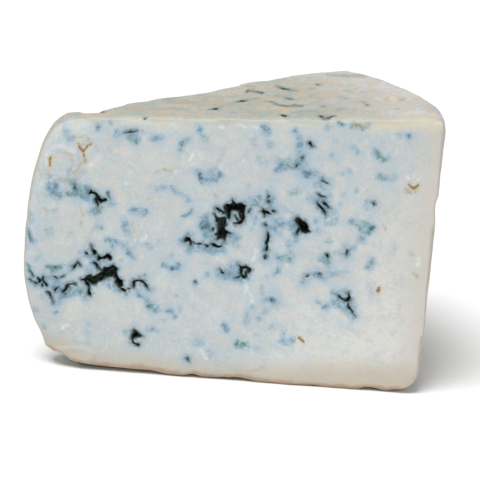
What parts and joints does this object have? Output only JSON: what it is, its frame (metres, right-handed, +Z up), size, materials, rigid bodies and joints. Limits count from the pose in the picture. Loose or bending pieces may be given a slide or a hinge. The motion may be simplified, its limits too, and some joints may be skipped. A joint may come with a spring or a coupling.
{
  "type": "blue cheese wedge",
  "caption": "Wedge cut from a round blue-veined cheese, with a rounded tip, ragged openings in the cut faces and a flat bottom to rest on.",
  "frame": {"origin": "middle of the wedge's bounding box, at its flat bottom face", "axes": "+Z up; +X along the front cut face from the tip to the rim; the front cut face looks to -Y"},
  "size_m": [0.1065, 0.0739, 0.0729],
  "materials": {
    "cheese": "moist crumbly paste, creamy white with blue-green mould; beige rind"
  },
  "bodies": {
    "root": {"cheese_wedge": "cheese"}
  },
  "joints": []
}
